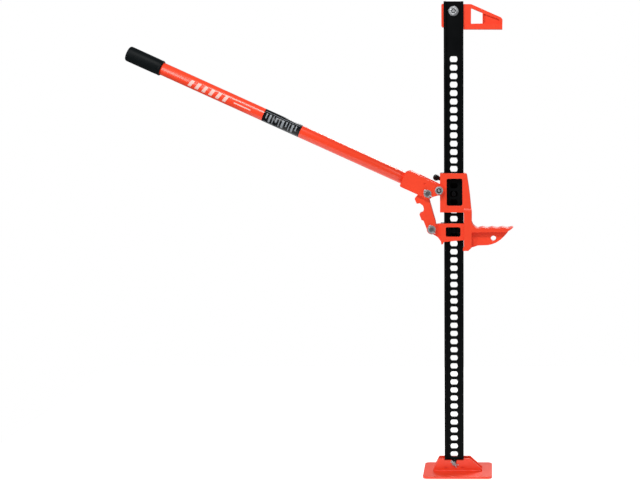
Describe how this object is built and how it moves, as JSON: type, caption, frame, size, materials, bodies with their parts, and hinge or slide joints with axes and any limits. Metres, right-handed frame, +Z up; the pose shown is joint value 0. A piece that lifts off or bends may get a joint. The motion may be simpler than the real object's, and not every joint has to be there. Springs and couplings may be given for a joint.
{
  "type": "farm jack",
  "caption": "Tall rack jack with a perforated bar, two runners that climb it, a lifting nose, a long socketed handle, a top clamp and a flat base.",
  "frame": {"origin": "underside of the base plate, below the axis of the bar", "axes": "+Z up the bar, +X towards the lifting nose, -Y towards the operator's side that shows the pivots"},
  "size_m": [0.9916, 0.134, 1.225],
  "materials": {
    "red_paint": "gloss enamel over cast and pressed steel",
    "black_paint": "satin black paint over rolled steel",
    "zinc": "bright zinc plate",
    "black_oxide": "oiled black oxide on steel",
    "bright_steel": "machined steel, lightly oiled",
    "spring_steel": "drawn spring wire",
    "tube_paint": "gloss enamel over steel tube",
    "grip_rubber": "moulded rubber",
    "knob_plastic": "moulded phenolic"
  },
  "bodies": {
    "upright": {"standard_bar": "black_paint", "base_plate": "red_paint", "base_cheek_front": "red_paint", "base_cheek_back": "red_paint", "base_pin": "bright_steel", "base_pin_cotter": "zinc", "top_clamp": "red_paint", "top_clamp_bolt": "zinc", "top_clamp_washer": "zinc", "top_clamp_nut": "zinc"},
    "large_runner": {"large_runner": "red_paint", "lifting_nose": "red_paint", "shear_bolt": "zinc", "shear_bolt_washers": "zinc", "shear_bolt_nut": "zinc", "latch_spacer": "zinc", "latch_screw": "zinc", "upper_pin_spring": "spring_steel", "upper_pin_cap": "red_paint"},
    "handle": {"handle_socket": "red_paint", "handle_tube": "tube_paint", "handle_grip": "grip_rubber", "handle_set_screw": "zinc", "upper_pitman_pin": "bright_steel", "upper_pitman_washer": "zinc", "upper_pitman_cotter": "zinc"},
    "small_runner": {"small_runner": "red_paint", "lower_pitman_pin": "bright_steel", "lower_pitman_washer": "zinc", "lower_pitman_cotter": "zinc", "lower_pin_spring": "spring_steel", "lower_pin_cap": "red_paint"},
    "pitman": {"pitman_link": "red_paint"},
    "upper_pin": {"upper_climbing_pin": "black_oxide", "upper_pin_head": "bright_steel"},
    "lower_pin": {"lower_climbing_pin": "black_oxide", "lower_pin_head": "bright_steel"},
    "latch": {"reversing_latch": "black_oxide", "latch_knob": "knob_plastic"}
  },
  "joints": [
    {"name": "lift_slide", "type": "slide", "parent": "upright", "child": "large_runner", "axis": [0, 0, 1], "range_m": [-0.516, 0.258]},
    {"name": "handle_swing", "type": "hinge", "parent": "large_runner", "child": "handle", "pos_m": [-0.037, 0, 0.746], "axis": [0, 1, 0], "range_deg": [-20, 55]},
    {"name": "small_runner_slide", "type": "slide", "parent": "large_runner", "child": "small_runner", "axis": [0, 0, 1], "range_m": [-0.0125, 0.0282]},
    {"name": "pitman_swing", "type": "hinge", "parent": "small_runner", "child": "pitman", "pos_m": [-0.0568, 0, 0.645], "axis": [0, 1, 0], "range_deg": [-1, 1.5]},
    {"name": "upper_pin_slide", "type": "slide", "parent": "large_runner", "child": "upper_pin", "axis": [0, 1, 0], "range_m": [0, 0.01], "stiffness_N_per_m": 900, "springref_m": -0.008, "deforming": ["upper_pin_spring"]},
    {"name": "lower_pin_slide", "type": "slide", "parent": "small_runner", "child": "lower_pin", "axis": [0, 1, 0], "range_m": [0, 0.004], "stiffness_N_per_m": 900, "springref_m": -0.008, "deforming": ["lower_pin_spring"]},
    {"name": "latch_flip", "type": "hinge", "parent": "large_runner", "child": "latch", "pos_m": [-0.012, 0.0272, 0.768], "axis": [0, 1, 0], "range_deg": [-22, 0]}
  ],
  "couplings": [
    {"joint": "small_runner_slide", "follows": "handle_swing", "m_per_rad": 0.029},
    {"joint": "pitman_swing", "follows": "handle_swing", "ratio": 0.02}
  ]
}
